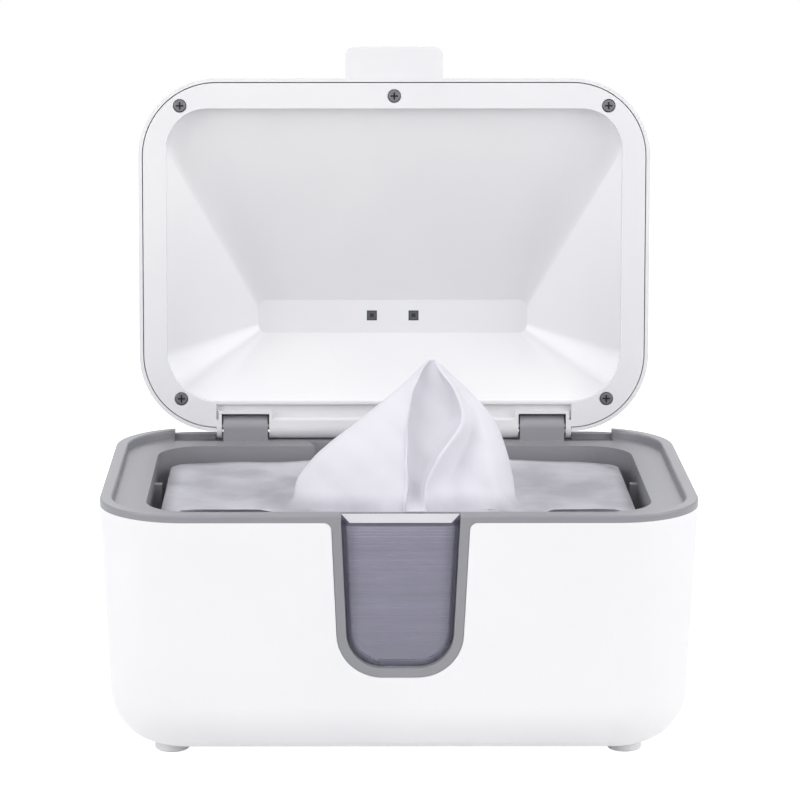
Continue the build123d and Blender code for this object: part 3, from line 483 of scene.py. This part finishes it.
def cloth(name, light, dark, crease_mm=16.0, lying=None, streak_mm=None):
    """Non-woven cloth: soft fibres in the bump, and wet patches a shade darker than dry ones."""
    # Real fibres are about 0.02 mm thick, too fine to show, so their bump is drawn 0.8 mm wide
    fibre_mm = 0.8
    made, tree = new_material(name)
    place = node(tree, "ShaderNodeTexCoord").outputs["Object"]
    patches = node(
        tree,
        "ShaderNodeTexNoise",
        inputs={"Scale": 1 / (crease_mm * MM), "Detail": 3.0, "Roughness": 0.5},
        links={"Vector": place},
    )
    tone = two_tones(tree, patches.outputs["Fac"], dark, light, 0.3, 0.7)
    if streak_mm:  # painted light and shade on the edges of the folds, some lit and some in shade, a few folds at a time
        along = node(
            tree,
            "ShaderNodeVectorMath",
            operation="MULTIPLY",
            inputs={1: ALONG_FOLDS},
            links={0: place},
        )
        streaks = node(
            tree,
            "ShaderNodeTexNoise",
            inputs={"Scale": 1 / (streak_mm * MM), "Detail": 4.0, "Roughness": 0.6},
            links={"Vector": along.outputs["Vector"]},
        )
        depth = node(
            tree,
            "ShaderNodeMapRange",
            inputs={"From Min": 0.3, "From Max": 0.7, "To Min": 0.68, "To Max": 1.12},
            links={"Value": streaks.outputs["Fac"]},
        )
        tone = node(
            tree,
            "ShaderNodeVectorMath",
            operation="SCALE",
            links={0: tone, "Scale": depth.outputs["Result"]},
        ).outputs["Vector"]
    if lying:  # the light and dark colours of the part that lies wet on the pile
        height = node(tree, "ShaderNodeSeparateXYZ", links={"Vector": place}).outputs["Z"]
        wet = two_tones(tree, patches.outputs["Fac"], lying[1], lying[0], 0.36, 0.62)
        raised = shade(tree, height, LYING_HEIGHT, RAISED_HEIGHT)
        tone = node(
            tree,
            "ShaderNodeMix",
            data_type="RGBA",
            links={0: raised, 6: wet, 7: tone},
        ).outputs[2]
    fibres = node(
        tree,
        "ShaderNodeTexNoise",
        inputs={"Scale": 1 / (fibre_mm * MM), "Detail": 4.0, "Roughness": 0.6},
        links={"Vector": place},
    )
    fibre_relief = node(
        tree,
        "ShaderNodeBump",
        inputs={"Strength": 0.4, "Distance": 0.08 * MM},
        links={"Height": fibres.outputs["Fac"]},
    )
    relief = node(
        tree,
        "ShaderNodeBump",
        inputs={"Strength": 0.5, "Distance": 0.7 * MM},
        links={"Height": patches.outputs["Fac"], "Normal": fibre_relief.outputs["Normal"]},
    )
    shader = node(
        tree,
        "ShaderNodeBsdfPrincipled",
        inputs={"Roughness": 0.8, "IOR": 1.4, "Sheen Weight": 0.1, "Sheen Roughness": 0.5},
        links={"Base Color": tone, "Normal": relief.outputs["Normal"]},
    )
    node(tree, "ShaderNodeOutputMaterial", links={"Surface": shader.outputs["BSDF"]})
    return made


stack_low, stack_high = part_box("wipe_stack")
STACK_GAP = 0.8 * MM  # each fold lies up to this far inside the stack's outline
STACK_HEADROOM = 0.4 * MM  # left for the border of the raised wipe
LAYERS = 58
LAYER_PITCH = (stack_high[2] - stack_low[2] - STACK_HEADROOM) / LAYERS
LAYER_THICKNESS = 0.98 * LAYER_PITCH
FOLD_CORNER = 8.4 * MM
FOLD_ROUNDING = 0.24 * LAYER_THICKNESS
DISORDER = 0.85 * STACK_GAP  # how far a fold may lie from the middle
stack_middle = (Vector(stack_low) + Vector(stack_high)) / 2
stack_size = Vector(stack_high) - Vector(stack_low)

bpy.ops.object.select_all(action="DESELECT")
lowest = (stack_middle.x, stack_middle.y, stack_low[2] + LAYER_PITCH / 2)
bpy.ops.mesh.primitive_cube_add(size=1, location=lowest)
folded_wipe = bpy.context.object
folded_wipe.scale = (stack_size.x - 2 * STACK_GAP, stack_size.y - 2 * STACK_GAP, LAYER_THICKNESS)
bpy.ops.object.transform_apply(location=True, rotation=False, scale=True)
shape = edit(folded_wipe, "EDGE")
for edge in shape.edges:
    edge.select = abs(edge.verts[0].co.z - edge.verts[1].co.z) > LAYER_THICKNESS / 2
bpy.ops.mesh.bevel(offset=FOLD_CORNER, segments=8, affect="EDGES")
bpy.ops.mesh.select_all(action="DESELECT")
shape = bmesh.from_edit_mesh(folded_wipe.data)
for edge in shape.edges:
    edge.select = abs(edge.verts[0].co.z - edge.verts[1].co.z) < LAYER_THICKNESS / 2
bpy.ops.mesh.bevel(offset=FOLD_ROUNDING, segments=2, affect="EDGES")
bpy.ops.object.mode_set(mode="OBJECT")

pile = random.Random(7)
layers = [folded_wipe]
for number in range(1, LAYERS):
    layer = folded_wipe.copy()
    layer.data = folded_wipe.data.copy()
    bpy.context.scene.collection.objects.link(layer)
    shift = Vector((pile.uniform(-1, 1), pile.uniform(-1, 1), 0)) * DISORDER
    layer.data.transform(Matrix.Translation(shift + Vector((0, 0, number * LAYER_PITCH))))
    layers.append(layer)
bpy.ops.object.select_all(action="DESELECT")
for layer in layers:
    layer.select_set(True)
bpy.context.view_layer.objects.active = folded_wipe
bpy.ops.object.join()
folded_wipe.name = "folded_wipes"
folded_wipe.data.polygons.foreach_set("use_smooth", [True] * len(folded_wipe.data.polygons))
# Moist viscose is a cool grey white; fine lines of painted light and shade mark its folds behind the window
moist_cloth = cloth("moist non-woven cloth, folded", "D2D1DB", "C0BFCA", streak_mm=5.0)
folded_wipe.data.materials.append(moist_cloth)
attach(folded_wipe, "base")
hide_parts("wipe_stack")


# ---- Raised wipe -----------------------------------------------------------------------------
# The top wipe, pulled up by its middle into a peak with one deep fold in front, while its border
# still lies on the stack. Each ring gives the cloth's outline at a height, in the same order round.
PEAK_RINGS = (
    (153.6, ((12.0, -13.5), (12.3, -14.0), (12.7, -14.3), (13.0, -14.4), (13.2, -13.7),
             (14.2, -13.9), (14.8, -14.2), (15.1, -14.0), (15.3, -13.7), (15.4, -13.4),
             (14.8, -12.9), (14.2, -12.7), (13.6, -12.6), (12.9, -12.7), (12.3, -13.0))),
    (149.5, ((7.9, -14.8), (8.7, -16.4), (9.4, -17.1), (9.8, -17.2), (10.4, -15.2),
             (15.6, -15.4), (17.6, -16.2), (18.8, -15.6), (19.6, -14.7), (20.2, -13.6),
             (17.5, -12.0), (15.2, -11.6), (13.0, -11.3), (10.8, -11.8), (8.9, -13.0))),
    (141.0, ((-1.8, -17.5), (2.2, -20.6), (5.0, -22.2), (5.8, -22.4), (7.0, -18.6),
             (20.0, -17.8), (23.9, -20.2), (25.6, -18.6), (27.4, -17.4), (29.1, -15.0),
             (22.4, -11.0), (18.4, -9.4), (12.4, -8.6), (6.6, -10.0), (1.6, -12.8))),
    (130.0, ((-16.2, -21.5), (-5.0, -25.8), (2.8, -27.6), (3.9, -27.8), (5.2, -23.6),
             (21.0, -22.0), (26.0, -25.6), (30.5, -21.8), (35.0, -21.6), (39.0, -17.5),
             (28.0, -9.0), (21.4, -7.5), (10.9, -5.0), (1.5, -8.0), (-8.1, -13.0))),
    (118.0, ((-31.8, -25.5), (-13.0, -31.5), (1.8, -33.4), (3.1, -33.6), (4.6, -30.2),
             (13.4, -29.4), (17.4, -33.0), (26.5, -24.5), (37.0, -28.0), (44.4, -21.0),
             (33.5, -9.0), (24.4, -5.0), (9.4, -1.5), (-4.1, -4.5), (-20.1, -12.0))),
    (108.0, ((-40.4, -28.0), (-18.5, -35.5), (1.6, -37.6), (2.9, -37.8), (4.0, -35.4),
             (9.6, -35.2), (12.0, -38.0), (22.5, -28.5), (38.8, -34.0), (46.8, -24.0),
             (37.5, -9.0), (26.0, -3.0), (8.4, 1.0), (-7.1, -2.5), (-25.6, -10.5))),
    (100.0, ((-42.6, -30.0), (-21.0, -38.5), (1.0, -40.6), (2.2, -40.8), (3.3, -38.8),
             (9.2, -38.8), (11.4, -41.0), (22.6, -33.0), (40.2, -37.5), (48.0, -27.0),
             (40.5, -8.5), (27.0, -1.0), (8.0, 4.0), (-9.1, 0.0), (-28.6, -8.5))),
    (96.5, ((-46.5, -32.5), (-22.5, -41.0), (0.4, -43.2), (1.8, -43.4), (3.0, -41.6),
            (9.6, -41.6), (12.2, -43.4), (23.5, -36.0), (42.0, -40.5), (50.5, -29.0),
            (43.5, -7.5), (28.5, 0.5), (8.0, 6.5), (-11.0, 2.0), (-32.5, -7.0))),
)
SHEET_HALF = (95.6, 53.2)  # half the length and width of the border that lies on the stack
SHEET_SQUARENESS = 9  # how square its corners are: 2 would make it an ellipse
SHEET_HEIGHT = 95.75
SHEET_LIFT = 0.75  # the cloth's mean height over that
SPREAD_FROM = -17.0  # the border spreads out from this far in front of the middle
CURL_HEIGHT = 4.3  # its near edge has curled up by this much on both sides of the peak
PEAK_MIDDLE = 4.0  # how far the peak's foot lies to the right
AROUND = 12  # points between two points of a ring
BETWEEN = 6  # rows between two rings
BORDER_ROWS = 10


def through(a, b, c, d, t):
    """A point between b and c on the smooth curve through four points in a row."""
    return 0.5 * (2 * b + (c - a) * t + (2 * a - 5 * b + 4 * c - d) * t * t + (3 * b - a - 3 * c + d) * t**3)


def smooth_step(value, start, end):
    """0 before the start and 1 past the end, with a smooth rise between them."""
    share = min(1.0, max(0.0, (value - start) / (end - start)))
    return share * share * (3 - 2 * share)


def near_edge_curl(x, y):
    """1 along the near edge of the cloth, but for its corners and the foot of the peak, in millimetres."""
    near_edge = smooth_step(-y, 43.5, 54.0)
    beside_peak = smooth_step(abs(x - PEAK_MIDDLE), 46, 58)
    at_corner = smooth_step(abs(x), 86, 96)
    return near_edge * beside_peak * (1 - at_corner)


def border_ripple(x, y):
    """Shallow waves, 40 to 80 mm long and half a millimetre high, in the cloth on the stack."""
    return 0.55 * math.sin(x / 13 + 0.6) * math.sin(y / 10) + 0.3 * math.sin(x / 6 + y / 8)


def creep(point):
    """How far the cloth puckers out of its smooth shape, in waves 20 to 40 mm long."""
    return 0.35 * math.sin(point.z / 3.1 + point.x / 4) * math.sin(point.x / 6.5 + point.y / 5)


rings = [[Vector((x, y, height)) for x, y in outline] for height, outline in PEAK_RINGS]
columns = len(rings[0]) * AROUND
smooth_rings = []
for ring in rings:
    count = len(ring)
    smooth_rings.append(
        [
            through(ring[i - 1], ring[i], ring[(i + 1) % count], ring[(i + 2) % count], step / AROUND)
            for i in range(count)
            for step in range(AROUND)
        ]
    )
rows = []
for i in range(len(smooth_rings) - 1):
    above = smooth_rings[max(i - 1, 0)]
    below = smooth_rings[min(i + 2, len(smooth_rings) - 1)]
    for step in range(BETWEEN):
        rows.append(
            [
                through(above[j], smooth_rings[i][j], smooth_rings[i + 1][j], below[j], step / BETWEEN)
                for j in range(columns)
            ]
        )
rows.append(smooth_rings[-1])
foot = smooth_rings[-1]
centre = Vector((stack_middle.x, stack_middle.y, 0)) / MM
for step in range(1, BORDER_ROWS + 1):
    share = step / BORDER_ROWS
    row = []
    for point in foot:
        away = Vector((point.x - centre.x, point.y - SPREAD_FROM, 0)).normalized()
        along, across = abs(away.x / SHEET_HALF[0]), abs(away.y / SHEET_HALF[1])
        reach = (along**SHEET_SQUARENESS + across**SHEET_SQUARENESS) ** (-1 / SHEET_SQUARENESS)
        edge = centre + away * reach
        flat = point.lerp(Vector((edge.x, edge.y, SHEET_HEIGHT)), share)
        curl = near_edge_curl(flat.x, flat.y)
        ripple = border_ripple(flat.x, flat.y) * min(1.0, 3 * share) * (1 - curl)
        rise = (point.z - SHEET_HEIGHT) * (1 - share) ** 6 + curl * CURL_HEIGHT
        row.append(Vector((flat.x, flat.y, SHEET_HEIGHT + SHEET_LIFT + ripple + rise)))
    rows.append(row)

# The cloth is made as a grid and bent to the rows; its two short sides are then sewn together
bpy.ops.object.select_all(action="DESELECT")
bpy.ops.mesh.primitive_grid_add(x_subdivisions=columns, y_subdivisions=len(rows) - 1, size=1)
raised_wipe = bpy.context.object
raised_wipe.name = "raised_wipe"
for index, vertex in enumerate(raised_wipe.data.vertices):
    row, column = divmod(index, columns + 1)
    point = rows[row][column % columns]
    vertex.co = (point + Vector((0.6, 1, 0)) * creep(point)) * MM
FOLD_STARTS, FOLD_ENDS = 3, 6  # the ring's points on either side of the fold's bottom
FOLD_MARGIN = 2  # columns that still belong to its sides
FOLD_COLUMNS = range(FOLD_STARTS * AROUND + FOLD_MARGIN, FOLD_ENDS * AROUND - FOLD_MARGIN)
# Painted shade: the fold's faces above the border take the greyer cloth
for index, face in enumerate(raised_wipe.data.polygons):
    row, column = divmod(index, columns)
    face.material_index = int(column in FOLD_COLUMNS and row < len(rows) - BORDER_ROWS)
PEAK_HEIGHT = 140 * MM  # the only open edge above this is the hole at the tip
SEAM_DISTANCE = 0.01 * MM
edit(raised_wipe, "VERT")
bpy.ops.mesh.select_all(action="SELECT")
bpy.ops.mesh.remove_doubles(threshold=SEAM_DISTANCE)
bpy.ops.mesh.select_all(action="DESELECT")
shape = bmesh.from_edit_mesh(raised_wipe.data)
for edge in shape.edges:
    edge.select = edge.is_boundary and edge.verts[0].co.z > PEAK_HEIGHT
bpy.ops.mesh.fill()
bpy.ops.mesh.select_all(action="SELECT")
bpy.ops.mesh.normals_make_consistent(inside=False)
bpy.ops.object.mode_set(mode="OBJECT")
CLOTH_THICKNESS = 0.35 * MM
wall = raised_wipe.modifiers.new("thickness", "SOLIDIFY")
wall.thickness = CLOTH_THICKNESS
wall.offset = -1
bpy.ops.object.modifier_apply(modifier="thickness")
raised_wipe.data.polygons.foreach_set("use_smooth", [True] * len(raised_wipe.data.polygons))
# Pulled up, the cloth is drier and nearly white; in the fold it is painted greyer, as shade
pulled_cloth = cloth(
    "moist non-woven cloth, pulled up", "EAE9F0", "E4E3EB", crease_mm=22.0, lying=("CCCBD3", "B4B3BC")
)
fold_shade_cloth = cloth(
    "moist non-woven cloth, painted shade in the fold", "D6D5DD", "D2D1D9", crease_mm=22.0, lying=("E4E3EA", "DCDBE3")
)
raised_wipe.data.materials.append(pulled_cloth)
raised_wipe.data.materials.append(fold_shade_cloth)
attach(raised_wipe, "base")
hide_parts("pulled_wipe")
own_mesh(raised_wipe)
